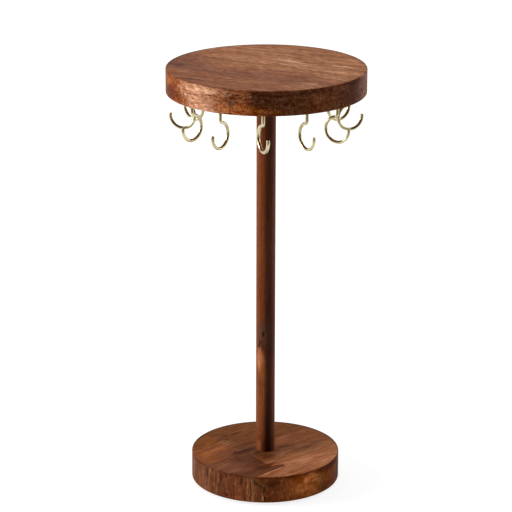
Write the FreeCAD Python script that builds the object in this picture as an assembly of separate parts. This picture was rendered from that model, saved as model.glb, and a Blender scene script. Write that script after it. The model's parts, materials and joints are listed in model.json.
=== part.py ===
import FreeCAD, Part
import math
import os

# A table stand for hair ties and bracelets: a round wooden top with a ring of
# brass cup hooks under its rim, turning on a slim wooden post that stands in a
# round wooden base. Lengths are in millimetres and angles in degrees. +Z is up
# and the origin is the centre of the footprint, on the surface below the pads.

# Turned wood
top_radius = 65.0
top_thickness = 16.2
base_radius = 49.5
base_thickness = 18.5
post_radius = 6.35             # half-inch dowel
clear_height = 248.5          # from the base's top face to the top's underside
arris_radius = 0.7            # sanded edge of the top and the base
post_arris = 0.4              # broken edge at each end of the post
post_socket_depth = 4.0       # the post's foot stands this deep in the base

# Cup hooks, bent from round wire and screwed up into the top
hook_inset = 10.6             # from the top's edge to each shank
hook_wire_radius = 1.1
ring_radius = 8.3             # centre line of the round part of the hook
ring_drop = 17.3              # from the top's underside down to the ring's centre
neck_radius = 2.6             # centre line of the reverse bend below the shank
ring_end_angle = 4.0          # how far the ring comes up past level
tip_length = 0.8              # straight end of the wire, past the ring
tip_round = 0.45
hook_screw_length = 9.0       # the threaded stretch inside the wood
hook_point_length = 2.5
collar_radius = 2.7
collar_thickness = 0.9
collar_dome = 0.35
pilot_clearance = 0.05        # round the screw, and past its point
# Each hook is drilled by hand, a little off the even pitch, and stops a little
# off radial when it is screwed home. The first one faces -Y and the rest follow
# anticlockwise seen from above.
hook_wander = (-2, -2, -4, 2, -1, 0, -1, 0, 1, -4, 0, -2)
hook_twist = (24, 4, 4, 18, 4, 7, -9, 12, -13, -12, 17, -2)

# Pivot that the top turns on
pin_radius = 2.5
pin_depth_in_post = 24.0
pin_chamfer = 0.5
bush_running_clearance = 0.05
bush_wall = 2.1
bush_length = 11.0
flange_radius = 7.5
flange_thickness = 1.2
bush_bore_spare = 0.6         # the top's blind bore is this much deeper than the bush
washer_thickness = 1.0
washer_hole_clearance = 0.15
top_lift = 0.1                # running gap between the washer and the bush's flange
ring_thickness = 1.0          # spring ring that keeps the top on when it is lifted
ring_bite = 0.5               # how deep the spring ring sits in the pin
ring_stand_out = 0.35         # how far it stands out of the pin
ring_mouth = 70.0             # opening of the spring ring
ring_groove_clearance = 0.3   # above and below the ring in the bush
ring_outer_clearance = 0.4    # outside the ring in the bush
ring_below_pin_end = 1.6

# Screw that pulls the post down into the base
screw_radius = 2.0
screw_length = 38.0
screw_point_length = 5.0
screw_head_radius = 4.0
screw_head_height = 2.6
screw_recess_depth = 1.6
screw_recess_width = 0.9
screw_recess_reach = 2.1
counterbore_clearance = 1.0
counterbore_depth = 5.0

# Anti-slip pads under the base
pad_count = 4
pad_radius = 6.0
pad_thickness = 1.5
pad_inset = 4.5               # from the base's edge to the pad's edge
pad_edge_round = 0.3
pad_first_angle = 45.0

# Levels that follow from the sizes above
base_bottom = pad_thickness
base_top = base_bottom + base_thickness
top_bottom = base_top + clear_height
top_top = top_bottom + top_thickness
post_foot = base_top - post_socket_depth
post_head = top_bottom - top_lift - washer_thickness
bush_bore_radius = pin_radius + bush_running_clearance
bush_outer_radius = bush_bore_radius + bush_wall
pin_top = top_bottom + bush_length - pin_chamfer
ring_top = pin_top - ring_below_pin_end
ring_bottom = ring_top - ring_thickness
screw_seat = base_bottom + counterbore_depth
hook_circle_radius = top_radius - hook_inset
hook_pitch = 360.0 / len(hook_twist)

UP = FreeCAD.Vector(0, 0, 1)


def cylinder(radius, bottom, top, x=0.0, y=0.0):
    """Round bar standing on +Z between two levels."""
    return Part.makeCylinder(radius, top - bottom, FreeCAD.Vector(x, y, bottom), UP)


def round_edges(solid, radius, levels):
    """Round the outermost circular edge of a turned solid at each given level."""
    chosen = []
    for level in levels:
        rims = [
            edge for edge in solid.Edges
            if abs(edge.BoundBox.ZMin - level) < 1e-6 and abs(edge.BoundBox.ZMax - level) < 1e-6
        ]
        chosen.append(max(rims, key=lambda edge: edge.BoundBox.XLength))
    return solid.makeFillet(radius, chosen)


def turned_disc(radius, bottom, top):
    """Round board with a sanded edge above and below."""
    return round_edges(cylinder(radius, bottom, top), arris_radius, (bottom, top))


def hook_place(index):
    """Where a hook's shank stands, and the direction its ring opens to, in degrees."""
    bearing = -90.0 + index * hook_pitch + hook_wander[index]
    x = hook_circle_radius * math.cos(math.radians(bearing))
    y = hook_circle_radius * math.sin(math.radians(bearing))
    return x, y, bearing + hook_twist[index]


def make_top_disc():
    """Top board with the pivot's blind bore and one pilot hole for each hook."""
    board = turned_disc(top_radius, top_bottom, top_top)
    cuts = [
        cylinder(bush_outer_radius, top_bottom, top_bottom + bush_length + bush_bore_spare),
        cylinder(flange_radius, top_bottom, top_bottom + flange_thickness),
    ]
    for index in range(len(hook_twist)):
        x, y, _ = hook_place(index)
        depth = hook_screw_length + pilot_clearance
        cuts.append(cylinder(hook_wire_radius + pilot_clearance, top_bottom, top_bottom + depth, x, y))
    return board.cut(cuts)


def make_base_disc():
    """Base board with a shallow socket above and a stepped screw hole below."""
    board = turned_disc(base_radius, base_bottom, base_top)
    cuts = [
        cylinder(post_radius, post_foot, base_top),
        cylinder(screw_head_radius + counterbore_clearance, base_bottom, screw_seat),
        cylinder(screw_radius, screw_seat, post_foot),
    ]
    return board.cut(cuts)


def make_post():
    """Dowel with a bore for the pivot pin above and a pilot hole for the screw below."""
    dowel = round_edges(cylinder(post_radius, post_foot, post_head), post_arris, (post_foot, post_head))
    pin_bore = cylinder(pin_radius, post_head - pin_depth_in_post, post_head)
    return dowel.cut([pin_bore, screw_body(screw_seat)])


def screw_body(seat):
    """Shank of the base screw with its point, standing on the seat of its head."""
    shank = cylinder(screw_radius, seat, seat + screw_length - screw_point_length)
    point = Part.makeCone(screw_radius, 0, screw_point_length, FreeCAD.Vector(0, 0, shank.BoundBox.ZMax), UP)
    return shank.fuse(point)


def make_base_screw():
    """Pan-head wood screw with a cross recess, driven up from below."""
    head_bottom = screw_seat - screw_head_height
    head = cylinder(screw_head_radius, head_bottom, screw_seat)
    head = round_edges(head, screw_head_height / 2, (head_bottom,))
    screw = head.fuse(screw_body(screw_seat))
    slot = Part.makeBox(2 * screw_recess_reach, screw_recess_width, screw_recess_depth)
    slot.translate(FreeCAD.Vector(-screw_recess_reach, -screw_recess_width / 2, head_bottom))
    crossing = slot.copy()
    crossing.rotate(FreeCAD.Vector(0, 0, 0), UP, 90)
    return screw.cut([slot, crossing]).removeSplitter()


def ring_point(angle):
    """Point on the centre line of a hook's ring, in the hook's own X-Z plane."""
    angle = math.radians(angle)
    return FreeCAD.Vector(ring_radius * math.cos(angle), 0, ring_radius * math.sin(angle) - ring_drop)


def bend(section, centre, sweep):
    """Carry a round section along an arc in the X-Z plane; a positive sweep runs from +X to +Z."""
    axis = FreeCAD.Vector(0, -1, 0)
    return section.revolve(centre, axis, sweep)


def wire_section(centre, direction):
    """Round section of the hook's wire, square to the given direction."""
    circle = Part.Circle(centre, direction, hook_wire_radius)
    return Part.Face(Part.Wire(circle.toShape()))


def hook_tip():
    """Straight cut end of the wire, standing on the end of the ring."""
    tip = round_edges(cylinder(hook_wire_radius, 0, tip_length), tip_round, (tip_length,))
    tip.rotate(FreeCAD.Vector(0, 0, 0), FreeCAD.Vector(0, -1, 0), ring_end_angle)
    tip.translate(ring_point(ring_end_angle))
    return tip


def bent_hook():
    """Cup hook at the origin: its collar's top at Z=0, its ring opening towards +X."""
    join_angle = math.degrees(math.acos(-neck_radius / (ring_radius + neck_radius)))
    neck_top = (ring_radius + neck_radius) * math.sin(math.radians(join_angle)) - ring_drop
    shank = cylinder(hook_wire_radius, neck_top, hook_screw_length - hook_point_length)
    point = Part.makeCone(
        hook_wire_radius, hook_wire_radius / 6, hook_point_length,
        FreeCAD.Vector(0, 0, shank.BoundBox.ZMax), UP)
    neck = bend(
        wire_section(FreeCAD.Vector(0, 0, neck_top), UP),
        FreeCAD.Vector(-neck_radius, 0, neck_top), join_angle - 180.0)
    ring_start = math.radians(join_angle)
    tangent = FreeCAD.Vector(-math.sin(ring_start), 0, math.cos(ring_start))
    ring = bend(
        wire_section(ring_point(join_angle), tangent),
        FreeCAD.Vector(0, 0, -ring_drop), 360.0 + ring_end_angle - join_angle)
    collar = cylinder(collar_radius, -collar_thickness, 0)
    collar = round_edges(collar, collar_dome, (-collar_thickness,))
    return shank.fuse([point, neck, ring, hook_tip(), collar]).removeSplitter()


def make_hook(index):
    """One hook, turned to its own direction and set under the top."""
    x, y, direction = hook_place(index)
    hook = bent_hook()
    hook.rotate(FreeCAD.Vector(0, 0, 0), UP, direction)
    hook.translate(FreeCAD.Vector(x, y, top_bottom))
    return hook


def make_pivot_pin():
    """Steel pin pressed into the post, with a groove for the spring ring near its top."""
    foot = post_head - pin_depth_in_post
    pin = cylinder(pin_radius, foot, pin_top)
    ends = [edge for edge in pin.Edges if edge.BoundBox.ZLength < 1e-6]
    pin = pin.makeChamfer(pin_chamfer, ends)
    groove = cylinder(pin_radius, ring_bottom, ring_top).cut(
        cylinder(pin_radius - ring_bite, ring_bottom, ring_top))
    return pin.cut(groove)


def make_spring_ring():
    """Flat split ring in the pin's groove; it snaps out into the bush."""
    ring = cylinder(pin_radius + ring_stand_out, ring_bottom, ring_top)
    ring = ring.cut(cylinder(pin_radius - ring_bite, ring_bottom, ring_top))
    mouth = Part.makeCylinder(
        2 * pin_radius, ring_thickness, FreeCAD.Vector(0, 0, ring_bottom), UP, ring_mouth)
    return ring.cut(mouth)


def make_pivot_bush():
    """Flanged bush pressed into the top, with an inner groove for the spring ring."""
    bush = cylinder(bush_outer_radius, top_bottom, top_bottom + bush_length)
    bush = bush.fuse(cylinder(flange_radius, top_bottom, top_bottom + flange_thickness))
    groove = cylinder(
        pin_radius + ring_stand_out + ring_outer_clearance,
        ring_bottom - ring_groove_clearance, ring_top + ring_groove_clearance)
    bore = cylinder(bush_bore_radius, top_bottom, top_bottom + bush_length)
    return bush.cut([bore, groove]).removeSplitter()


def make_thrust_washer():
    """Plain washer on the post's end that carries the top's weight."""
    washer = cylinder(post_radius - post_arris, post_head, post_head + washer_thickness)
    return washer.cut(cylinder(pin_radius + washer_hole_clearance, post_head, post_head + washer_thickness))


def make_pad(index):
    """One anti-slip pad under the base."""
    angle = math.radians(pad_first_angle + index * 360.0 / pad_count)
    reach = base_radius - pad_inset - pad_radius
    pad = round_edges(cylinder(pad_radius, 0, base_bottom), pad_edge_round, (0,))
    pad.translate(FreeCAD.Vector(reach * math.cos(angle), reach * math.sin(angle), 0))
    return pad


def build():
    """Make every piece and write one STEP file for each."""
    pieces = {
        "top_disc": make_top_disc(),
        "post": make_post(),
        "base_disc": make_base_disc(),
        "base_screw": make_base_screw(),
        "pivot_pin": make_pivot_pin(),
        "spring_ring": make_spring_ring(),
        "pivot_bush": make_pivot_bush(),
        "thrust_washer": make_thrust_washer(),
    }
    for index in range(len(hook_twist)):
        pieces[f"hook_{index + 1:02d}"] = make_hook(index)
    for index in range(pad_count):
        pieces[f"foot_pad_{index + 1}"] = make_pad(index)
    os.makedirs("parts", exist_ok=True)
    for name, shape in pieces.items():
        shape.exportStep(f"parts/{name}.step")


build()
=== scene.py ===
import json
import math

import bpy
from mathutils import Matrix, Vector


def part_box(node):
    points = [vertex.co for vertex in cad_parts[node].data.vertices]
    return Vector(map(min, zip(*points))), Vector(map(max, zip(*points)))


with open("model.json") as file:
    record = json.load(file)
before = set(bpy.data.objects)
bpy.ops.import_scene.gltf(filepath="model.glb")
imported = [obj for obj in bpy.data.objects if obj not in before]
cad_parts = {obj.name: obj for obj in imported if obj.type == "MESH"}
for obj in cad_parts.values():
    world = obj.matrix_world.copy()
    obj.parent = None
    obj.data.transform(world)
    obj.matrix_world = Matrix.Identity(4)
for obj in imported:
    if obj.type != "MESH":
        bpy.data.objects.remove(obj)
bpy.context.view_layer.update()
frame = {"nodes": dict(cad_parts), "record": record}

MM = 0.001
TOP_RADIUS = (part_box("top_disc")[1][0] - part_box("top_disc")[0][0]) / 2 / MM
BASE_RADIUS = (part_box("base_disc")[1][0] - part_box("base_disc")[0][0]) / 2 / MM
POST_RADIUS = (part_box("post")[1][0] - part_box("post")[0][0]) / 2 / MM

# ---------------------------------------------------------------- helpers

MATH, VECTOR, RANGE, MIX = "ShaderNodeMath", "ShaderNodeVectorMath", "ShaderNodeMapRange", "ShaderNodeMix"
NOISE, MAPPING = "ShaderNodeTexNoise", "ShaderNodeMapping"


def srgb(code):
    """A hex colour as Blender's linear RGBA."""
    channels = [int(code[i:i + 2], 16) / 255 for i in (1, 3, 5)]
    linear = [c / 12.92 if c <= 0.04045 else ((c + 0.055) / 1.055) ** 2.4 for c in channels]
    return (*linear, 1.0)


def add(tree, kind, settings=None, **inputs):
    """Add one node. Settings are its properties, and "stops" the stops of a colour ramp. Inputs go by
    socket name, or by number as _0, and take a value, a socket, or a node's own result."""
    node = tree.nodes.new(kind)
    for name, value in (settings or {}).items():
        if name != "stops":
            setattr(node, name, value)
            continue
        stops = node.color_ramp.elements
        for number, (position, code) in enumerate(value):
            stop = stops[number] if number < 2 else stops.new(position)
            stop.position, stop.color = position, srgb(code)
    for name, value in inputs.items():
        socket = node.inputs[int(name[1:])] if name[0] == "_" else node.inputs[name.replace("_", " ")]
        if isinstance(value, bpy.types.Node):
            value = next(output for output in value.outputs if output.enabled)
        if isinstance(value, bpy.types.NodeSocket):
            tree.links.new(value, socket)
        else:
            socket.default_value = value
    return node


def new_material(name):
    """An empty node material; returns it with its tree."""
    material = bpy.data.materials.new(name)
    material.use_nodes = True
    material.node_tree.nodes.clear()
    return material, material.node_tree


# ---------------------------------------------------------------- wood

# Oiled, brown-stained acacia, from the ink of a knot to the pale dust on sanded sapwood. The dark grey-brown
# for the back rims is painted shade, and straw and cream also give the painted highlight on the top's edge
WOOD = {
    "ink": "#1C0A04", "knot": "#2A0E04", "painted_rim_shade": "#342218", "bark": "#3E1E10", "oxblood": "#440E04",
    "cocoa": "#522E1E", "garnet": "#5A1C08", "mahogany": "#5C2E18", "plum": "#603A34",
    "slate": "#624434", "cedar": "#66361E", "rust": "#662C06", "umber": "#6C3C22", "tawny": "#74421E",
    "walnut": "#764428", "dusk": "#80503A", "sienna": "#80421F", "chestnut": "#864E2C",
    "russet": "#8A4410", "toffee": "#8A4C1E", "brick": "#8A4E30", "hickory": "#905A34",
    "hide": "#96604A", "oak": "#98603A", "saddle": "#9A562C", "hazel": "#A2704C", "nutmeg": "#A66846",
    "rose": "#A6887A", "amber": "#AC642E", "ginger": "#AE5E22", "terracotta": "#B4704A",
    "fawn": "#BA8662", "biscuit": "#C07B52", "copper": "#CE763C", "clay": "#CC764C", "sand": "#D29C76",
    "straw": "#E4A682", "apricot": "#EA9056", "cream": "#F8BE94",
}
EYE = 2.2               # from light to how light it looks
PALE = 0.45             # how light wood can look before its threads grow no stronger
DARKEST = 0.02          # threads never look darker than this
FADE = 1.6              # a mark has faded out this many times its half size from its centre
NO_DEPTH = 1e6          # a mark goes right through the board, so that it is the same at any depth
SWAY_LENGTH = 42        # millimetres of grain from one sway to the next
ARRIS = (0.50, 0.10)    # from the rim, the band in which a board's face turns into its edge
PAINTED_SHADE_BAND = (2.8, 0.9)   # from the rim, where the painted dark line of shade begins and is full
PAINTED_SHADE_BACK = (-5, 18)     # behind the stand's axis, where that line begins to show and is at its strongest
SOFT_RIM = (-0.22, 0.59)    # of a mark's depth, where the softest rim begins and is full
HARD_RIM = (0.09, 0.15)     # the same for the hardest
CLOUD_SIZE = (26, 9, 9)     # millimetres of the broadest change in a board's lightness
CLOUD_SWING = 0.045         # and how far it goes
OPEN_CELLS = (0.54, 0.70)   # noise from which a vessel starts to open and is fully open
SHEEN = (0.44, 0.56)        # roughness of the oil, from thread to thread
TOP_GRAIN, BASE_GRAIN = 28, -41    # degrees by which the boards' grain is turned about the axis


def round_map(tree, place, radius):
    """A flat map of a turned piece's side in millimetres: X runs round it from the front, anticlockwise
    from above, and Y up it."""
    parts = add(tree, "ShaderNodeSeparateXYZ", Vector=place)
    front = add(tree, MATH, {"operation": "MULTIPLY"}, _0=parts.outputs["Y"], _1=-1.0)
    bearing = add(tree, MATH, {"operation": "ARCTAN2"}, _0=parts.outputs["X"], _1=front)
    around = add(tree, MATH, {"operation": "MULTIPLY"}, _0=bearing, _1=radius)
    up = add(tree, MATH, {"operation": "MULTIPLY"}, _0=parts.outputs["Z"], _1=1 / MM)
    return add(tree, "ShaderNodeCombineXYZ", X=around, Y=up)


def from_axis(tree, place):
    """A point's flat place in millimetres from the stand's axis, and how far out that is."""
    flat = add(tree, VECTOR, {"operation": "MULTIPLY"}, _0=place, _1=(1 / MM, 1 / MM, 0))
    return flat, add(tree, VECTOR, {"operation": "LENGTH"}, _0=flat).outputs["Value"]


def zones(tree, flat, axis, reach, ragged, sway, stops):
    """Tones side by side across a flat map, from -reach to +reach millimetres, their borders frayed."""
    parts = add(tree, "ShaderNodeSeparateXYZ", Vector=flat)
    frayed = add(tree, MATH, {"operation": "MULTIPLY_ADD"}, _0=ragged, _1=sway, _2=parts.outputs[axis])
    share = add(tree, RANGE, _0=frayed, _1=-reach + sway / 2, _2=reach + sway / 2, _3=0.0, _4=1.0)
    placed = [((where / reach + 1) / 2, WOOD[tone]) for where, tone in stops]
    return add(tree, "ShaderNodeValToRGB", {"stops": placed}, _0=share)


def place_marks(tree, colour, flat, ragged, marks):
    """Lay the board's own marks, such as knots, clouds and dark streaks, on a colour.

    A mark is an oval on a flat map: centre, half length and half width in millimetres, turn in degrees,
    tone, strength, and how hard its rim is from 0 to 1. The fibres tear its rim.
    """
    for centre, size, turn, tone, strength, hard in marks:
        reach = [side * FADE for side in size]
        moved = add(
            tree, MAPPING, {"vector_type": "TEXTURE"}, Vector=flat, Location=(*centre, 0),
            Rotation=(0, 0, math.radians(turn)), Scale=(*reach, NO_DEPTH))
        depth = add(tree, "ShaderNodeTexGradient", {"gradient_type": "SPHERICAL"}, Vector=moved)
        torn = add(tree, MATH, {"operation": "MULTIPLY_ADD"}, _0=ragged, _1=-0.5, _2=depth.outputs[1])
        start, full = [soft + (firm - soft) * hard for soft, firm in zip(SOFT_RIM, HARD_RIM)]
        inside = add(
            tree, RANGE, {"interpolation_type": "SMOOTHSTEP"}, _0=torn, _1=start, _2=full,
            _3=0.0, _4=strength)
        colour = add(tree, MIX, {"data_type": "RGBA"}, _0=inside, _6=colour, _7=srgb(WOOD[tone]))
    return colour


def repeated(centres, size, tone, strength, hard):
    """Like marks, one at each centre, lying along the map."""
    return [(centre, size, 0, tone, strength, hard) for centre in centres]


def grain_space(tree, place, turn, sway):
    """Millimetres with X along the grain, the fibres swaying a little on their way."""
    straight = add(tree, MAPPING, Vector=place, Rotation=turn, Scale=(1 / MM, 1 / MM, 1 / MM))
    drift = add(tree, NOISE, Vector=straight, Scale=1 / SWAY_LENGTH, Detail=2.0)
    centred = add(tree, VECTOR, {"operation": "SUBTRACT"}, _0=drift.outputs["Color"], _1=(0.5, 0.5, 0.5))
    return add(tree, VECTOR, {"operation": "MULTIPLY_ADD"}, _0=centred, _1=(0, sway, sway), _2=straight)


def drawn_noise(tree, space, size, detail=3.0, roughness=0.55):
    """Noise drawn out to a length, width and depth in millimetres."""
    drawn = add(tree, MAPPING, Vector=space, Scale=[1 / side for side in size])
    return add(tree, NOISE, Vector=drawn, Scale=1.0, Detail=detail, Roughness=roughness)


def spread(tree, noise, low, high, half=0.14):
    """Noise keeps close to 0.5. Stretch what lies within half a width of that to run from low to high."""
    return add(tree, RANGE, _0=noise, _1=0.5 - half, _2=0.5 + half, _3=low, _4=high)


def streaked(tree, colour, swing):
    """Light and dark threads on a colour, by a share of how light it looks. Red, green and blue step up
    and down alike, because sanded fibres are dusty where they are light and deep in colour where dark."""
    seen = add(tree, "ShaderNodeGamma", Color=colour, Gamma=1 / EYE)
    level = add(tree, VECTOR, {"operation": "DOT_PRODUCT"}, _0=seen, _1=(1 / 3, 1 / 3, 1 / 3))
    level = add(tree, MATH, {"operation": "MINIMUM"}, _0=level.outputs["Value"], _1=PALE)
    step = add(tree, MATH, {"operation": "MULTIPLY"}, _0=level, _1=swing)
    moved = add(tree, VECTOR, {"operation": "ADD"}, _0=seen, _1=step)
    kept = add(tree, VECTOR, {"operation": "MAXIMUM"}, _0=moved, _1=(DARKEST, DARKEST, DARKEST))
    return add(tree, "ShaderNodeGamma", Color=kept, Gamma=EYE)


def sealed_acacia(tree, space, ground, fibre, fuzz, fleck, open_share, swing, gloss):
    """Acacia, sanded across the wheel and sealed with a thin matt oil over a brown stain.

    The eye gets broad fibres and a finer fuzz as light and dark threads, each with its own swing in
    lightness, the open vessels as short dark dashes, and a low, broken sheen. Fibre, fuzz and fleck are
    sizes in millimetres. Real vessels are 0.2 mm wide and real fuzz is finer still; both are drawn as wide
    as the size given, the finest that shows on that board.
    """
    fibre_swing, fuzz_swing = swing
    threads = drawn_noise(tree, space, fibre, 4.0, 0.66)
    fine = drawn_noise(tree, space, fuzz, 2.0, 0.7)
    cloud = drawn_noise(tree, space, CLOUD_SIZE, 2.0)
    vessels = drawn_noise(tree, space, fleck, 1.0, 0.5)
    shade = spread(tree, threads, -fibre_swing, fibre_swing)
    faint = spread(tree, fine, -fuzz_swing, fuzz_swing)
    shade = add(tree, MATH, {"operation": "ADD"}, _0=shade, _1=faint)
    broad = spread(tree, cloud, -CLOUD_SWING, CLOUD_SWING, half=0.20)
    shade = add(tree, MATH, {"operation": "ADD"}, _0=shade, _1=broad)
    colour = streaked(tree, ground, shade)
    open_cells = add(
        tree, RANGE, {"interpolation_type": "SMOOTHSTEP"}, _0=vessels,
        _1=OPEN_CELLS[0], _2=OPEN_CELLS[1], _3=0.0, _4=open_share)
    colour = add(tree, MIX, {"data_type": "RGBA"}, _0=open_cells, _6=colour, _7=srgb(WOOD["bark"]))
    height = add(tree, MATH, {"operation": "SUBTRACT"}, _0=threads, _1=open_cells)
    relief = add(tree, "ShaderNodeBump", Strength=0.4, Distance=0.08 * MM, Height=height)
    soft = spread(tree, threads, *SHEEN, half=0.20)
    shader = add(
        tree, "ShaderNodeBsdfPrincipled", Base_Color=colour, Roughness=soft, Specular_IOR_Level=gloss,
        Normal=relief)
    add(tree, "ShaderNodeOutputMaterial", Surface=shader)


def edge_share(tree, place, radius):
    """1 on a board's turned edge and 0 on its faces, changing over the sanded arris."""
    _, reach = from_axis(tree, place)
    return add(
        tree, RANGE, {"interpolation_type": "SMOOTHSTEP"}, _0=reach,
        _1=radius - ARRIS[0], _2=radius - ARRIS[1], _3=0.0, _4=1.0)


def painted_shade_rim(tree, place, face, radius, strength):
    """A face with a thin dark line round the back of its rim: painted shade of the arris, as seen from the
    front.
    """
    flat, reach = from_axis(tree, place)
    rim = add(
        tree, RANGE, {"interpolation_type": "SMOOTHSTEP"}, _0=reach,
        _1=radius - PAINTED_SHADE_BAND[0], _2=radius - PAINTED_SHADE_BAND[1], _3=0.0, _4=strength)
    parts = add(tree, "ShaderNodeSeparateXYZ", Vector=flat)
    behind = add(tree, RANGE, _0=parts.outputs["Y"], _1=PAINTED_SHADE_BACK[0], _2=PAINTED_SHADE_BACK[1], _3=0.0, _4=1.0)
    share = add(tree, MATH, {"operation": "MULTIPLY"}, _0=rim, _1=behind)
    return add(tree, MIX, {"data_type": "RGBA"}, _0=share, _6=face, _7=srgb(WOOD["painted_rim_shade"]))


# ---------------------------------------------------------------- top board

# across the grain, from the front left of the face to the back right
TOP_FACE_ZONES = [
    (-65, "walnut"), (-42, "chestnut"), (-26, "walnut"), (-10, "chestnut"), (2, "hickory"), (13, "oak"),
    (22, "hickory"), (34, "oak"), (50, "hickory"), (65, "chestnut")]

TOP_FACE_MARKS = [
    # red-brown clouds at the left end
    ((-64, -8), (22, 26), 0, "oxblood", 0.42, 0.1),
    ((-51, 20.5), (10, 4), 0, "rust", 0.50, 0.1),
    ((-44.5, 39), (10, 4), 0, "dusk", 0.50, 0.1),
    ((-44, -17), (16, 12), 0, "cocoa", 0.26, 0.0),
    ((-55, -21.5), (7, 3), 0, "oxblood", 0.70, 0.2),
    ((-42, -19), (6, 2.2), 0, "rust", 0.55, 0.2),
    ((-49, -10), (6, 1.5), 0, "russet", 0.45, 0.4),
    # dusty clouds and long pale streaks, from the middle to the right
    ((-38, 14), (13, 1.3), 4, "nutmeg", 0.42, 0.1),
    ((-30, 13.5), (10, 1.3), 8, "fawn", 0.38, 0.2),
    ((-12, 11), (12, 1.3), -20, "fawn", 0.42, 0.1),
    ((9.5, 15), (14, 7), 0, "sand", 0.30, 0.0),
    ((49, -32), (14, 7), 0, "sand", 0.30, 0.0),
    ((51, -4), (12, 10), 0, "sand", 0.22, 0.0),
    ((16, 9), (13, 1.4), -10, "cream", 0.20, 0.1),
    ((3, 20.5), (12, 3), 0, "fawn", 0.30, 0.2),
    ((5.5, 21), (5, 2.3), 0, "sand", 0.30, 0.1),
    ((-27.5, 35), (10, 1.5), 0, "fawn", 0.45, 0.4),
    ((-9, 38.5), (7, 1.7), 0, "hazel", 0.50, 0.3),
    ((44, 8), (11, 3), 0, "fawn", 0.30, 0.1),
    ((53, 12), (11, 4.4), 0, "nutmeg", 0.30, 0.0),
    ((43, 24), (9, 2), 0, "sand", 0.50, 0.3),
    ((29, 45), (11, 3), 0, "hickory", 0.50, 0.2),
    ((20, -26), (5, 1.3), 0, "hazel", 0.50, 0.4),
    ((23.5, -33), (5, 1.3), 0, "dusk", 0.45, 0.4),
    ((56.5, -14.5), (5, 1.4), 0, "terracotta", 0.50, 0.4),
    # short dark streaks
    ((-27, -52), (8, 2), 0, "ink", 0.55, 0.2),
    ((-29.5, -26), (3.4, 1.2), 0, "cocoa", 0.50, 0.4),
    ((-5.5, -42), (7, 1.4), 12, "cocoa", 0.55, 0.4),
    ((-22.5, 3), (7, 0.9), -4, "cocoa", 0.55, 0.4),
    ((30, -16.5), (8, 1.5), 10, "oxblood", 0.60, 0.4),
    ((7, -60), (7, 1.6), 0, "umber", 0.55, 0.3),
    *repeated([(24.5, 14), (38, 2.5), (49.5, -12.5)], (3.4, 0.9), "umber", 0.55, 0.4)]

# round the edge, from the back anticlockwise; the seam of the two boards is at -10. The straw from -52 to
# -40 is a painted highlight, the key lamp's sheen on the left of the edge
TOP_EDGE_ZONES = [
    (-200, "walnut"), (-110, "umber"), (-92, "umber"), (-80, "russet"), (-66, "saddle"), (-52, "straw"),
    (-40, "straw"), (-31, "terracotta"), (-24, "saddle"), (-15, "clay"), (-9.6, "umber"), (20, "walnut"),
    (32, "chestnut"), (55, "umber"), (66, "mahogany"), (80, "hide"), (120, "tawny"), (200, "walnut")]

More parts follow.
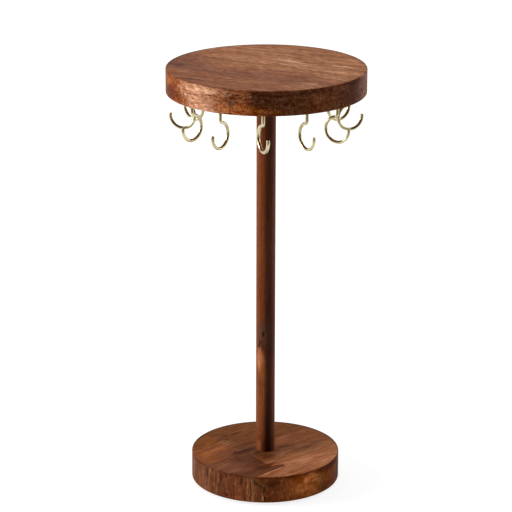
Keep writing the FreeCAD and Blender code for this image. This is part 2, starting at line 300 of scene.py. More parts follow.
TOP_EDGE_MARKS = [
    # the left end, orange above and red below
    ((-84.5, 280), (7, 3), 0, "ginger", 0.60, 0.2),
    ((-72, 282), (7, 2), 0, "saddle", 0.60, 0.2),
    ((-78, 273.5), (12, 4.4), 0, "garnet", 0.70, 0.2),
    ((-63, 272), (9, 2.8), 0, "russet", 0.75, 0.2),
    ((-61, 280.5), (6, 2.2), 0, "straw", 0.40, 0.0),
    ((-67, 275), (7, 2.4), 0, "garnet", 0.34, 0.0),
    # a painted highlight, the key lamp's sheen on the left of the edge, with a few thin lines of grain in it
    ((-47, 281.5), (11, 1.6), 0, "cream", 0.60, 0.3),
    ((-24.5, 281.5), (3, 1.4), 0, "walnut", 0.70, 0.3),
    ((-22, 279), (2.8, 2), 0, "terracotta", 0.75, 0.3),
    ((-27, 278), (3.2, 1), 0, "russet", 0.75, 0.3),
    ((-33.5, 277), (4.4, 0.5), 3, "biscuit", 0.70, 0.4),
    ((-38, 279.5), (3.4, 0.4), 3, "umber", 0.65, 0.4),
    ((-43, 276), (5, 0.5), 2, "cream", 0.65, 0.4),
    ((-51, 278), (5, 0.5), 2, "walnut", 0.60, 0.4),
    ((-37, 283.5), (5, 2.4), 0, "cream", 0.40, 0.0),
    ((-27.5, 282), (5, 3.2), 0, "cream", 0.38, 0.0),
    ((-36.5, 277), (5, 2), 0, "chestnut", 0.36, 0.0),
    ((-23, 277), (5, 1.8), 0, "garnet", 0.36, 0.0),
    # fine level lines at the right end
    *repeated([(78, 273.5), (79, 271.5), (79, 269.5)], (5.5, 0.45), "rose", 0.48, 0.3),
    # dark dots by the seam
    *repeated(
        [(-23.5, 282.5), (-20.5, 281.5), (-22.5, 279.5), (-19.5, 279), (-18.5, 283.5)],
        (1.2, 0.6), "bark", 0.60, 0.4),
    ((-25.5, 279), (1.6, 0.9), 0, "bark", 0.50, 0.5),
    *repeated([(-24.5, 282), (-18.5, 281.5), (-16.5, 279.5)], (1.5, 0.85), "bark", 0.70, 0.5),
    *repeated([(-20.5, 279.5), (-19, 277)], (1.8, 1), "walnut", 0.72, 0.5),
    # grey and orange patches round the seam
    ((-22.3, 275), (1.7, 4.6), 0, "slate", 0.70, 0.3),
    ((-15.5, 283), (3.8, 1.5), 0, "saddle", 0.75, 0.2),
    ((-15.5, 279), (4, 3), 0, "oak", 0.60, 0.2),
    ((-10, 281.5), (0.7, 3), 0, "biscuit", 0.45, 0.5),
    ((-29, 273), (5, 2.2), 0, "clay", 0.65, 0.2),
    ((-25, 271.5), (5, 2), 0, "apricot", 0.65, 0.2),
    ((-14, 272), (8, 3.2), 0, "copper", 0.85, 0.2),
    ((-2, 271), (10, 2.6), 0, "ginger", 0.90, 0.2),
    ((6, 270.5), (9, 1.9), 0, "saddle", 0.85, 0.2),
    # the darker board to the right of it
    ((-4, 281.5), (2.6, 1), 0, "mahogany", 0.80, 0.4),
    ((3.5, 282), (2.6, 1), 0, "mahogany", 0.80, 0.4),
    ((-0.5, 279), (2.2, 0.9), 0, "umber", 0.70, 0.4),
    ((9.5, 275.5), (7, 3), 0, "walnut", 0.55, 0.2),
    ((18, 278), (2.4, 5), 0, "chestnut", 0.55, 0.2),
    ((34, 278.5), (4, 2.6), 10, "oak", 0.65, 0.2),
    ((26, 282.5), (8, 1.8), 0, "cocoa", 0.75, 0.2),
    ((39, 282.5), (7, 1.6), 0, "mahogany", 0.75, 0.2),
    ((54, 281.5), (6, 1.6), 10, "dusk", 0.60, 0.3),
    ((51.5, 275.5), (1.3, 5), 0, "mahogany", 0.55, 0.3),
    ((66, 283), (9, 1.8), 0, "oxblood", 0.80, 0.2),
    ((74, 275), (6, 5), 0, "plum", 0.65, 0.2),
    ((77.5, 279), (5, 0.6), 12, "rose", 0.35, 0.5),
    ((74, 277), (5, 0.5), 12, "rose", 0.25, 0.5)]

# where the edge's specks fade: from here to here round it, by this share
EDGE_FADES = [(-32.0, -46.0, 0.32), (-2.0, 12.0, 0.62), (30.0, 60.0, -0.34)]


def speckled_edge(tree, side, edge):
    """Dots and dashes of the side grain, 1 to 2 mm long, in thin layers, on the top's turned edge."""
    specks = drawn_noise(tree, side, (1.5, 1.0, 1.0), 3.0, 0.6)
    layers = drawn_noise(tree, side, (16, 1.3, 2.0), 3.0, 0.6)
    specks = spread(tree, specks, -0.30, 0.18)
    layers = spread(tree, layers, -0.08, 0.06)
    specks = add(tree, MATH, {"operation": "ADD"}, _0=specks, _1=layers)
    along = add(tree, "ShaderNodeSeparateXYZ", Vector=side)
    smooth = 0.0
    for start, end, change in EDGE_FADES:
        fade = add(tree, RANGE, _0=along.outputs["X"], _1=start, _2=end, _3=0.0, _4=change)
        smooth = add(tree, MATH, {"operation": "ADD"}, _0=fade, _1=smooth)
    specks = add(tree, MIX, {"data_type": "FLOAT"}, _0=smooth, _2=specks, _3=0.0)
    return streaked(tree, edge, specks)


def top_board():
    """Flat-sawn board for the top: long threads across the face, and fine level dashes on the turned edge
    where it runs with the grain. The edge is pale on the left, a painted highlight of the key lamp's sheen,
    and darker to the right."""
    material, tree = new_material("sealed_acacia_top")
    place = add(tree, "ShaderNodeTexCoord").outputs["Object"]
    space = grain_space(tree, place, turn=(0, 0, math.radians(TOP_GRAIN)), sway=5)
    ragged = drawn_noise(tree, space, (22, 3.0, 2.0), 4.0)
    broad = drawn_noise(tree, space, (120, 12, 9), 3.0)
    face = zones(tree, space, "Y", TOP_RADIUS, broad, sway=22, stops=TOP_FACE_ZONES)
    face = place_marks(tree, face, space, ragged, TOP_FACE_MARKS)
    # painted shade: a thin dark line round the back of the face's rim
    face = painted_shade_rim(tree, place, face, TOP_RADIUS, 0.65)
    side = round_map(tree, place, TOP_RADIUS)
    mottle = drawn_noise(tree, side, (7, 5, 5), 4.0, 0.6)
    edge = zones(tree, side, "X", math.pi * TOP_RADIUS, mottle, sway=7, stops=TOP_EDGE_ZONES)
    torn = drawn_noise(tree, side, (4, 2.4, 3), 4.0, 0.62)
    edge = place_marks(tree, edge, side, torn, TOP_EDGE_MARKS)
    edge = speckled_edge(tree, side, edge)
    share = edge_share(tree, place, TOP_RADIUS)
    ground = add(tree, MIX, {"data_type": "RGBA"}, _0=share, _6=face, _7=edge)
    sealed_acacia(
        tree, space, ground, fibre=(34, 3.4, 2.4), fuzz=(4.8, 1.3, 1.8), fleck=(4.4, 1.3, 0.6),
        open_share=0.46, swing=(0.23, 0.21), gloss=0.035)
    return material


# ---------------------------------------------------------------- base board

# across the grain of the two staves, from the front to the back
MAROON_ZONES = [
    (-50, "chestnut"), (-34, "walnut"), (-20, "cedar"), (-6, "umber"), (6, "brick"), (18, "brick"),
    (30, "toffee"), (50, "tawny")]
TAN_ZONES = [
    (-50, "terracotta"), (-31, "biscuit"), (-24, "terracotta"), (-19, "oak"), (-12, "chestnut"),
    (2, "chestnut"), (16, "tawny"), (50, "tawny")]

# the end joint of the staves, seen from above: straight behind, then two fingers with slanted sides.
# From here to here across the grain it steps this far along it
JOINT_STEPS = (
    (0, -20.7, -2.0), (-20.7, -23.0, 8.2), (-23.0, -25.7, -9.5), (-25.7, -28.3, 9.7), (-28.3, -31.4, -1.5))
JOINT = (-15.3, -14.6)         # where the joint begins and ends along the grain, glue and all
FRONT_STAVE = (-31.4, -31.9)   # where the front stave begins, across the grain
FRONT_SLANT = ((-32.0, 1.8), (-16.0, 0.0))   # its side drifts this far out at this place along the grain
FRONT_STAVE_END = (-2.0, 6.0)  # where that stave fades out along the grain

BASE_FACE_MARKS = [
    # orange at the left and behind
    ((-36, 18.5), (10, 4), 0, "amber", 0.70, 0.1),
    ((-25.5, 19), (7, 3.2), 0, "amber", 0.60, 0.2),
    ((-41.5, 9.5), (8, 5), 0, "amber", 0.65, 0.2),
    ((-42, -4), (8, 4), 0, "oak", 0.45, 0.2),
    ((-38, -11.5), (11, 7), 0, "nutmeg", 0.34, 0.0),
    ((12, -12), (10, 6), 0, "biscuit", 0.36, 0.0),
    # the dark heart of the maroon stave, by the post
    ((-13.5, -1), (13, 11), 0, "knot", 0.34, 0.0),
    ((-14.5, 5), (8, 2.8), 0, "oxblood", 0.62, 0.1),
    ((-19, 6.5), (5, 2), 0, "oxblood", 0.50, 0.2),
    ((-7.5, 6), (7, 2.6), 0, "knot", 0.62, 0.1),
    ((-3, 13.5), (7, 2.4), 0, "garnet", 0.50, 0.2),
    ((-8, -2.5), (6, 2), 0, "knot", 0.45, 0.2),
    # pin knots
    ((-26, -2.5), (1.4, 0.9), 0, "knot", 0.90, 0.6),
    ((-26.5, -5), (2.4, 0.8), -22, "knot", 0.75, 0.6),
    *repeated([(-24, 2), (-21, 7.5), (-19, 9)], (1.2, 0.7), "knot", 0.70, 0.5),
    # light and dark dashes behind
    *repeated(
        [(-13.5, 36), (-14.5, 28.5), (-13.5, 25), (-12.5, 21.5), (-12.5, 18)],
        (4, 0.65), "hazel", 0.76, 0.5),
    *repeated([(-16, 30.5), (-9.5, 29), (-7, 34)], (2.2, 0.7), "bark", 0.75, 0.5),
    *repeated([(-29, 31), (-33.5, 32.5)], (3.4, 1), "cocoa", 0.52, 0.4),
    ((2.5, 33.5), (6, 0.9), 0, "ink", 0.50, 0.4),
    ((11, 35.5), (6, 1.4), 0, "hickory", 0.55, 0.3),
    # along the joint and the front of the maroon stave
    ((-41, -17.5), (5, 0.9), -12, "terracotta", 0.50, 0.4),
    ((-23, -24), (6, 3.2), 0, "ink", 0.45, 0.1),
    ((-35, -20.5), (8, 3), 0, "chestnut", 0.40, 0.2),
    ((-13.7, -16), (0.5, 5), 0, "oak", 0.55, 0.5),
    ((-7.5, -12), (5, 4), 0, "bark", 0.50, 0.2),
    # the tan stave
    ((8, -20.5), (26, 1.2), 0, "biscuit", 0.40, 0.4),
    ((12, -17), (9, 0.6), -6, "saddle", 0.60, 0.5),
    ((25, -17), (5, 0.6), 10, "cocoa", 0.50, 0.5),
    ((11.5, -5.5), (6, 1.6), 0, "bark", 0.50, 0.3),
    ((16.5, -7.5), (5, 1.3), 0, "bark", 0.45, 0.3),
    ((9, -31.2), (14, 0.7), -7, "sand", 0.55, 0.4),
    ((24, -33), (8, 0.7), -5, "fawn", 0.60, 0.4),
    ((25, -24), (9, 1.6), 0, "biscuit", 0.50, 0.3),
    ((22.5, 6.5), (7, 2.6), 0, "nutmeg", 0.55, 0.2),
    ((38.5, 7.5), (6, 2.2), 0, "chestnut", 0.50, 0.2),
    ((36, -14), (7, 2), 0, "cocoa", 0.50, 0.3),
    # the glue line and the orange stave in front of it
    ((-23, -33), (9, 0.7), 6, "straw", 0.70, 0.6),
    ((-27, -36), (7, 2), 0, "saddle", 0.50, 0.3),
    ((-5, -41.5), (12, 3.4), 0, "oak", 0.50, 0.2),
    ((-13.5, -41), (3.2, 0.6), 0, "umber", 0.55, 0.5),
    ((31, -35.5), (6, 1.6), 0, "fawn", 0.50, 0.3)]

# round the edge, from the back anticlockwise; the ginger and amber from 24 to 34 are partly a painted sheen,
# the grain's shimmer at the right front
BASE_EDGE_ZONES = [
    (-150, "walnut"), (-78, "tawny"), (-60, "umber"), (-53, "walnut"), (-47, "dusk"), (-42, "walnut"),
    (-30, "umber"), (-20, "brick"), (-13, "brick"), (-9, "oak"), (4, "sienna"), (14, "saddle"),
    (24, "ginger"), (34, "amber"), (43, "toffee"), (52, "russet"), (66, "cedar"), (100, "tawny"),
    (150, "walnut")]

BASE_EDGE_MARKS = [
    # darker along the upper rim
    ((24, 20), (40, 2.8), 0, "rust", 0.80, 0.1),
    ((-24, 20), (16, 1.4), 0, "mahogany", 0.70, 0.2),
    ((-53, 20), (12, 1.2), 0, "bark", 0.60, 0.2),
    ((54, 18.2), (13, 3), 0, "oxblood", 0.90, 0.1),
    ((44.5, 18.5), (6, 1.8), 0, "rust", 0.80, 0.2),
    # the orange patch at the right, the wood's own tone with a painted sheen of the grain's shimmer on it,
    # and the dark round it
    ((21.5, 17.4), (3.4, 1.4), 0, "russet", 0.80, 0.3),
    ((13.5, 17), (3, 1.4), 0, "oak", 0.55, 0.2),
    ((5, 15), (6, 2.4), 0, "bark", 0.65, 0.2),
    ((31.5, 15.5), (5, 2.8), 0, "apricot", 0.85, 0.1),
    ((29, 9.5), (8, 4), 0, "copper", 0.66, 0.1),
    ((33, 6.5), (4, 2.2), 0, "ginger", 0.60, 0.2),
    ((37.5, 12), (5, 5), 0, "amber", 0.55, 0.1),
    ((19.5, 4), (5, 1.6), 0, "saddle", 0.50, 0.2),
    ((46, 5.5), (6, 2.8), 0, "mahogany", 0.75, 0.2),
    ((55.5, 7.5), (5, 2), 0, "rust", 0.60, 0.2),
    ((59.5, 11.5), (6, 4), 0, "russet", 0.50, 0.2),
    ((67, 10), (3, 9), 0, "bark", 0.70, 0.2),
    # a swirl round a knot, right of the glue line
    ((-6, 15.5), (3, 1.1), -42, "knot", 0.60, 0.2),
    ((-2.5, 13), (2.6, 1.2), -30, "ink", 0.60, 0.2),
    ((-0.5, 10.5), (1, 2.2), 0, "ink", 0.60, 0.2),
    ((-4.5, 9.5), (1.4, 2.4), 0, "brick", 0.50, 0.3),
    ((4, 8), (4, 0.9), 40, "nutmeg", 0.60, 0.3),
    ((10, 12), (4.4, 0.9), 28, "umber", 0.60, 0.3),
    ((-1.5, 4.7), (0.55, 1.7), 0, "sand", 0.85, 0.5),
    ((-0.2, 4.8), (0.6, 1.7), 0, "knot", 0.85, 0.5),
    # the glue line, and the pale wood at both sides of it
    ((-9.7, 10), (0.30, 9), 0, "bark", 0.75, 0.8),
    ((-11.6, 8.5), (1.1, 7.5), 0, "biscuit", 0.60, 0.3),
    ((-8.2, 8), (0.7, 7), 0, "biscuit", 0.60, 0.4),
    # upright lines of the growth rings at the left, pale and dark
    ((-33.6, 15.6), (0.5, 3), 4, "hazel", 0.65, 0.3),
    ((-35, 6.5), (0.5, 1.8), -6, "hazel", 0.55, 0.3),
    ((-41.4, 17.5), (0.5, 2.2), -8, "fawn", 0.70, 0.3),
    ((-39.7, 13), (0.8, 1.4), 0, "garnet", 0.70, 0.3),
    ((-38.4, 15.5), (0.5, 2.6), 30, "hide", 0.50, 0.3),
    ((-37.4, 9), (0.5, 2.6), 20, "hide", 0.45, 0.3),
    ((-44.3, 15.5), (1.2, 4.6), 0, "bark", 0.75, 0.3),
    ((-31.2, 16), (1.2, 2.8), 0, "garnet", 0.70, 0.3),
    ((-26.8, 18), (1, 1.4), 0, "bark", 0.70, 0.3),
    ((-21.6, 13), (1, 6), 0, "cedar", 0.60, 0.3),
    ((-16, 16), (1.1, 3), 0, "knot", 0.65, 0.3),
    ((-53.4, 6.5), (1.8, 5), 0, "saddle", 0.70, 0.3),
    ((-53, 12), (2, 4), 0, "chestnut", 0.50, 0.3),
    ((-59.5, 10), (1.8, 4), 0, "umber", 0.65, 0.2),
    ((-64, 13), (1.6, 6), 0, "rose", 0.34, 0.2),
    ((-48.6, 10), (0.8, 6), 5, "dusk", 0.55, 0.2),
    ((-26.9, 4.5), (1.5, 1.1), 0, "bark", 0.75, 0.4),
    ((-18.7, 4), (2.4, 1.4), 0, "clay", 0.50, 0.3)]

RINGS_END = (-4.0, 8.0)    # round the edge, where the upright lines give way to curdled grain


def jointed_face(tree, space):
    """The base's face before its marks: a maroon stave and a tan one, finger-jointed, and an orange one."""
    broad = drawn_noise(tree, space, (90, 8, 20), 3.0)
    maroon = zones(tree, space, "Y", BASE_RADIUS, broad, sway=10, stops=MAROON_ZONES)
    tan = zones(tree, space, "Y", BASE_RADIUS, broad, sway=9, stops=TAN_ZONES)
    parts = add(tree, "ShaderNodeSeparateXYZ", Vector=space)
    along, across = parts.outputs["X"], parts.outputs["Y"]
    joint = along
    for start, end, rise in JOINT_STEPS:
        step = add(tree, RANGE, _0=across, _1=start, _2=end, _3=0.0, _4=rise)
        joint = add(tree, MATH, {"operation": "SUBTRACT"}, _0=joint, _1=step)
    beyond = add(tree, RANGE, _0=joint, _1=JOINT[0], _2=JOINT[1], _3=0.0, _4=1.0)
    face = add(tree, MIX, {"data_type": "RGBA"}, _0=beyond, _6=maroon, _7=tan)
    (far, drift), (near, none) = FRONT_SLANT
    slant = add(tree, RANGE, _0=along, _1=far, _2=near, _3=drift, _4=none)
    slant = add(tree, MATH, {"operation": "ADD"}, _0=across, _1=slant)
    front = add(tree, RANGE, _0=slant, _1=FRONT_STAVE[0], _2=FRONT_STAVE[1], _3=0.0, _4=1.0)
    short = add(tree, RANGE, _0=along, _1=FRONT_STAVE_END[0], _2=FRONT_STAVE_END[1], _3=1.0, _4=0.0)
    front = add(tree, MATH, {"operation": "MULTIPLY"}, _0=front, _1=short)
    return add(tree, MIX, {"data_type": "RGBA"}, _0=front, _6=face, _7=srgb(WOOD["terracotta"]))


def ringed_edge(tree, side, edge):
    """Growth rings cut across, as upright lines 1 to 2 mm apart, on the left of the base's turned edge."""
    upright = drawn_noise(tree, side, (1.1, 16, 9), 3.0, 0.6)
    upright = spread(tree, upright, -0.12, 0.12, half=0.16)
    curdled = drawn_noise(tree, side, (2.6, 2.2, 2), 3.0, 0.6)
    curdled = spread(tree, curdled, -0.055, 0.055, half=0.16)
    along = add(tree, "ShaderNodeSeparateXYZ", Vector=side)
    crossing = add(tree, RANGE, _0=along.outputs["X"], _1=RINGS_END[0], _2=RINGS_END[1], _3=0.0, _4=1.0)
    lines = add(tree, MIX, {"data_type": "FLOAT"}, _0=crossing, _2=upright, _3=curdled)
    return streaked(tree, edge, lines)


def base_board():
    """Base glued up from quarter-sawn staves, finger-jointed end to end, so its colour changes at joints:
    a maroon stave at the front left, a tan one from the post to the right, an orange one in front."""
    material, tree = new_material("sealed_acacia_base")
    place = add(tree, "ShaderNodeTexCoord").outputs["Object"]
    space = grain_space(tree, place, turn=(0, 0, math.radians(BASE_GRAIN)), sway=1.6)
    ragged = drawn_noise(tree, space, (14, 1.6, 6), 4.0)
    face = jointed_face(tree, space)
    face = place_marks(tree, face, space, ragged, BASE_FACE_MARKS)
    # painted shade: a thin dark line round the back of the face's rim
    face = painted_shade_rim(tree, place, face, BASE_RADIUS, 0.60)
    side = round_map(tree, place, BASE_RADIUS)
    mottle = drawn_noise(tree, side, (4, 14, 9), 4.0, 0.6)
    edge = zones(tree, side, "X", math.pi * BASE_RADIUS, mottle, sway=2.4, stops=BASE_EDGE_ZONES)
    torn = drawn_noise(tree, side, (3, 5, 3), 4.0, 0.6)
    edge = place_marks(tree, edge, side, torn, BASE_EDGE_MARKS)
    edge = ringed_edge(tree, side, edge)
    share = edge_share(tree, place, BASE_RADIUS)
    ground = add(tree, MIX, {"data_type": "RGBA"}, _0=share, _6=face, _7=edge)
    sealed_acacia(
        tree, space, ground, fibre=(20, 2.4, 12), fuzz=(9, 0.6, 3), fleck=(5.0, 1.2, 0.9),
        open_share=0.26, swing=(0.13, 0.16), gloss=0.02)
    return material


# ---------------------------------------------------------------- post

# round the dowel from the back; the dark tones just right of the front are painted shade
POST_ZONES = [
    (-19, "sienna"), (-1.2, "sienna"), (0.6, "mahogany"), (3.5, "cocoa"), (5.6, "umber"), (10, "tawny"),
    (19, "sienna")]

POST_MARKS = [
    # lighter wood low on the left, and painted shade down the front, right of centre
    ((-4, 58), (2.8, 28), 0, "saddle", 0.55, 0.1),
    ((-1, 58), (2.2, 26), 0, "saddle", 0.60, 0.2),
    ((1.8, 36), (2.2, 48), 0, "knot", 0.68, 0.1),
    ((3.4, 108), (3.6, 26), 0, "bark", 0.45, 0.1),
    # the knot, and the pale wood that it pushed aside
    ((-2.6, 104), (4.2, 9), 0, "slate", 0.70, 0.2),
    ((-4.8, 86), (2.4, 8), 0, "apricot", 0.55, 0.2),
    ((-2.6, 87), (2, 5.6), 14, "terracotta", 0.70, 0.2),
    ((-2, 78), (1.8, 8), 0, "amber", 0.60, 0.2),
    ((-1.5, 104), (0.8, 2.2), -16, "ink", 0.90, 0.4),
    ((-3.6, 98), (1.8, 1.6), 10, "bark", 0.75, 0.3),
    ((-5, 95.5), (1, 1.4), 0, "knot", 0.80, 0.4),
    ((-1.6, 95), (1.6, 3), 30, "cocoa", 0.70, 0.2),
    ((-3.6, 70), (0.9, 6), 0, "umber", 0.50, 0.3),
    ((-4.8, 24), (1.6, 4), 0, "terracotta", 0.60, 0.2)]


def post_dowel():
    """Straight-grained dowel with a knot below its middle; painted shade runs dark down its front, right of
    centre.
    """
    material, tree = new_material("sealed_acacia_post")
    place = add(tree, "ShaderNodeTexCoord").outputs["Object"]
    space = grain_space(tree, place, turn=(0, math.radians(90), 0), sway=1.2)
    side = round_map(tree, place, POST_RADIUS)
    ragged = drawn_noise(tree, side, (1.6, 26, 9), 4.0)
    ground = zones(tree, side, "X", math.pi * POST_RADIUS, ragged, sway=2.0, stops=POST_ZONES)
    ground = place_marks(tree, ground, side, ragged, POST_MARKS)
    sealed_acacia(
        tree, space, ground, fibre=(26, 0.9, 0.9), fuzz=(12, 0.22, 0.22), fleck=(4.0, 0.5, 0.5),
        open_share=0.40, swing=(0.10, 0.10), gloss=0.06)
    return material


# ---------------------------------------------------------------- metals and plastics


def pale_brass_plate():
    """Steel wire bent cold and plated with bright pale brass: mirror-like, a little soft where drawn."""
    material, tree = new_material("pale_brass_plate")
    place = add(tree, "ShaderNodeTexCoord").outputs["Object"]
    drawn = add(tree, NOISE, Vector=place, Scale=900.0, Detail=2.0)
    cloud = add(tree, NOISE, Vector=place, Scale=160.0, Detail=2.0)
    share = add(tree, RANGE, _0=cloud, _1=0.35, _2=0.70, _3=0.0, _4=1.0)
    colour = add(tree, MIX, {"data_type": "RGBA"}, _0=share, _6=srgb("#D3C9A2"), _7=srgb("#A8986C"))
    relief = add(tree, "ShaderNodeBump", Strength=0.15, Distance=0.02 * MM, Height=drawn)
    soft = spread(tree, cloud, 0.10, 0.20, half=0.20)
    shader = add(
        tree, "ShaderNodeBsdfPrincipled", Base_Color=colour, Metallic=1.0, Roughness=soft, Normal=relief)
    add(tree, "ShaderNodeOutputMaterial", Surface=shader)
    return material


def turned_metal(name, bright, dull, roughness):
    """Small steel part, turned or ground: fine rings run round it and break its shine into a soft grain."""
    material, tree = new_material(name)
    place = add(tree, "ShaderNodeTexCoord").outputs["Object"]
    ring = add(tree, MAPPING, Vector=place, Scale=(40, 40, 4000))
    marks = add(tree, NOISE, Vector=ring, Scale=1.0, Detail=3.0)
    colour = add(tree, MIX, {"data_type": "RGBA"}, _0=marks, _6=srgb(bright), _7=srgb(dull))
    relief = add(tree, "ShaderNodeBump", Strength=0.2, Distance=0.01 * MM, Height=marks)
    soft = spread(tree, marks, roughness, roughness + 0.12, half=0.20)
    shader = add(
        tree, "ShaderNodeBsdfPrincipled", Base_Color=colour, Metallic=1.0, Roughness=soft, Normal=relief)
    add(tree, "ShaderNodeOutputMaterial", Surface=shader)
    return material


def moulded(name, face, shade, roughness, grit):
    """Moulded or die-cut soft part: one body colour, with a grit, sized in millimetres, that dulls it."""
    material, tree = new_material(name)
    place = add(tree, "ShaderNodeTexCoord").outputs["Object"]
    speck = add(tree, NOISE, Vector=place, Scale=1 / MM / grit, Detail=3.0, Roughness=0.7)
    share = spread(tree, speck, 0.0, 1.0, half=0.15)
    colour = add(tree, MIX, {"data_type": "RGBA"}, _0=share, _6=srgb(face), _7=srgb(shade))
    relief = add(tree, "ShaderNodeBump", Strength=0.5, Distance=0.05 * MM, Height=speck)
    soft = spread(tree, speck, roughness - 0.06, roughness + 0.06, half=0.20)
    shader = add(tree, "ShaderNodeBsdfPrincipled", Base_Color=colour, Roughness=soft, Normal=relief)
    add(tree, "ShaderNodeOutputMaterial", Surface=shader)
    return material


# ---------------------------------------------------------------- finishes of this stand

FINISHES = {
    "top_wood": top_board(),
    "base_wood": base_board(),
    "post_wood": post_dowel(),
    "hook_brass": pale_brass_plate(),
    "pin_steel": turned_metal("ground_steel", "#B9B9BB", "#8E8E91", 0.22),
    "spring_steel": turned_metal("blued_spring_steel", "#4A4C55", "#2E3036", 0.30),
    "screw_steel": turned_metal("zinc_plated_steel", "#BDB9AE", "#97948C", 0.30),
    "bush_acetal": moulded("moulded_acetal", "#1B1B1C", "#121213", 0.38, 0.30),
    "washer_nylon": moulded("natural_nylon", "#DEDACD", "#CFCABB", 0.45, 0.35),
    "pad_rubber": moulded("foam_rubber", "#1C1C1C", "#0E0E0E", 0.85, 0.55),
}

for part in frame["record"]["subparts"]:
    mesh = frame["nodes"][part["node"]].data
    mesh.materials.clear()
    mesh.materials.append(FINISHES[part["material_slot"]])


# ---------------------------------------------------------------- floor, light and camera

FLOOR_SIZE = 8.0              # metres
FLOOR_LIFT = (0.84, 1.03)     # glow near the stand and far off
FLOOR_REACH = (0.1, 0.9)      # metres from the stand, for the two glows
ROOM_EDGE = (-0.60, -0.20)    # metres, in front: the floor is dim up to the first, white from the second
ROOM_ANGLE = (-0.65, -0.25)   # the same for the surroundings, as a share of straight ahead
FLOOR_DIM = 0.15              # share of the floor's glow that gloss sees where it is dim
ROOM_DIM = 0.06               # what gloss sees of the surroundings far in front
ROOM_LEVEL = 0.10             # how strongly the surroundings light the stand
CAMERA_PLACE = Vector((0, -1.5148, 0.6475))
CAMERA_DIP = 0.3133           # radians below level
CAMERA_TURN = 0.00428         # radians
CAMERA_ROLL = 0.0020          # radians
CAMERA_LENS = 169.8           # millimetres, for a 36 mm sensor


def pale_floor():
    """Matt white sweep. It lights the stand from below as white card does, and to the eye and to metal it
    is plain white, but for the stand's own soft shadow. Metal sees it dim far in front, where the table
    ends and the unlit room begins."""
    bpy.ops.object.select_all(action="DESELECT")
    bpy.ops.mesh.primitive_plane_add(size=FLOOR_SIZE, location=(0, 0, 0))
    floor = bpy.context.active_object
    floor.name = "floor"
    material, tree = new_material("matt_white_sweep")
    rays = add(tree, "ShaderNodeLightPath")
    seen = add(
        tree, MATH, {"operation": "MAXIMUM"},
        _0=rays.outputs["Is Camera Ray"], _1=rays.outputs["Is Glossy Ray"])
    seen = add(tree, MATH, {"operation": "MAXIMUM"}, _0=seen, _1=rays.outputs["Is Transmission Ray"])
    place = add(tree, "ShaderNodeTexCoord").outputs["Object"]
    reach = add(tree, VECTOR, {"operation": "LENGTH"}, _0=place)
    lift = add(
        tree, RANGE, _0=reach.outputs["Value"], _1=FLOOR_REACH[0], _2=FLOOR_REACH[1],
        _3=FLOOR_LIFT[0], _4=FLOOR_LIFT[1])
    parts = add(tree, "ShaderNodeSeparateXYZ", Vector=place)
    front = add(
        tree, RANGE, {"interpolation_type": "SMOOTHSTEP"}, _0=parts.outputs["Y"],
        _1=ROOM_EDGE[0], _2=ROOM_EDGE[1], _3=FLOOR_DIM, _4=1.0)
    front = add(tree, MIX, {"data_type": "FLOAT"}, _0=rays.outputs["Is Glossy Ray"], _2=1.0, _3=front)
    lift = add(tree, MATH, {"operation": "MULTIPLY"}, _0=lift, _1=front)
    card = add(tree, "ShaderNodeBsdfDiffuse", Color=srgb("#F2F2F1"))
    shade = add(tree, "ShaderNodeBsdfDiffuse", Color=srgb("#959595"))
    glow = add(tree, "ShaderNodeEmission", Color=(1, 1, 1, 1), Strength=lift)
    white = add(tree, "ShaderNodeAddShader", _0=shade, _1=glow)
    both = add(tree, "ShaderNodeMixShader", _0=seen, _1=card, _2=white)
    add(tree, "ShaderNodeOutputMaterial", Surface=both)
    floor.data.materials.append(material)


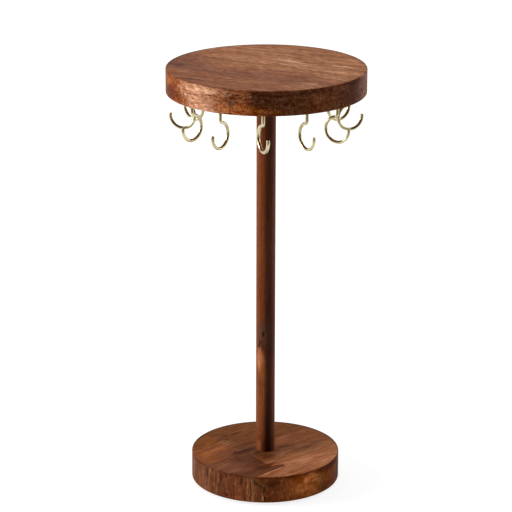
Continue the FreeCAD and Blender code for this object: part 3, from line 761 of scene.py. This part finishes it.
def white_surroundings():
    """World that lights softly. To the camera and to glass it is plain white. To gloss it is white behind
    and beside the stand, and dim in front, where the unlit room is."""
    world = bpy.data.worlds.new("white_surroundings")
    bpy.context.scene.world = world
    world.use_nodes = True
    tree = world.node_tree
    tree.nodes.clear()
    rays = add(tree, "ShaderNodeLightPath")
    seen = add(
        tree, MATH, {"operation": "MAXIMUM"},
        _0=rays.outputs["Is Camera Ray"], _1=rays.outputs["Is Transmission Ray"])
    towards = add(tree, "ShaderNodeTexCoord").outputs["Generated"]
    parts = add(tree, "ShaderNodeSeparateXYZ", Vector=towards)
    room = add(
        tree, RANGE, {"interpolation_type": "SMOOTHSTEP"}, _0=parts.outputs["Y"],
        _1=ROOM_ANGLE[0], _2=ROOM_ANGLE[1], _3=ROOM_DIM, _4=1.0)
    gloss = add(
        tree, MIX, {"data_type": "FLOAT"}, _0=rays.outputs["Is Glossy Ray"], _2=ROOM_LEVEL, _3=room)
    strength = add(tree, MIX, {"data_type": "FLOAT"}, _0=seen, _2=gloss, _3=1.0)
    sky = add(tree, "ShaderNodeBackground", Color=(1, 1, 1, 1), Strength=strength)
    add(tree, "ShaderNodeOutputWorld", Surface=sky)


def soft_box(name, place, aim, size, watts):
    """Oblong studio lamp at a place, turned to a point."""
    lamp = bpy.data.lights.new(name, "AREA")
    lamp.shape = "RECTANGLE"
    lamp.size, lamp.size_y = size
    lamp.energy = watts
    stand = bpy.data.objects.new(name, lamp)
    bpy.context.scene.collection.objects.link(stand)
    stand.location = place
    stand.rotation_euler = (Vector(aim) - Vector(place)).to_track_quat("-Z", "Y").to_euler()


def camera():
    """Long lens at eye height above a table, looking a little down on the stand."""
    lens = bpy.data.cameras.new("camera")
    lens.sensor_width = 36.0
    lens.lens = CAMERA_LENS
    lens.clip_start, lens.clip_end = 0.05, 20.0
    holder = bpy.data.objects.new("camera", lens)
    bpy.context.scene.collection.objects.link(holder)
    turned = (
        Matrix.Rotation(CAMERA_TURN, 4, "Z") @ Matrix.Rotation(math.pi / 2 - CAMERA_DIP, 4, "X")
        @ Matrix.Rotation(CAMERA_ROLL, 4, "Z"))
    holder.matrix_world = Matrix.Translation(CAMERA_PLACE) @ turned
    bpy.context.scene.camera = holder


pale_floor()
white_surroundings()
soft_box("key", place=(-1.25, 0.0, 0.58), aim=(0, 0, 0.18), size=(0.60, 0.80), watts=15)
soft_box("overhead", place=(0.0, 0.20, 1.35), aim=(0, 0, 0.25), size=(0.9, 0.9), watts=9)
soft_box("side_fill", place=(1.3, 0.30, 0.60), aim=(0, 0, 0.18), size=(0.8, 0.8), watts=4)
camera()
bpy.context.scene.view_settings.view_transform = "Standard"
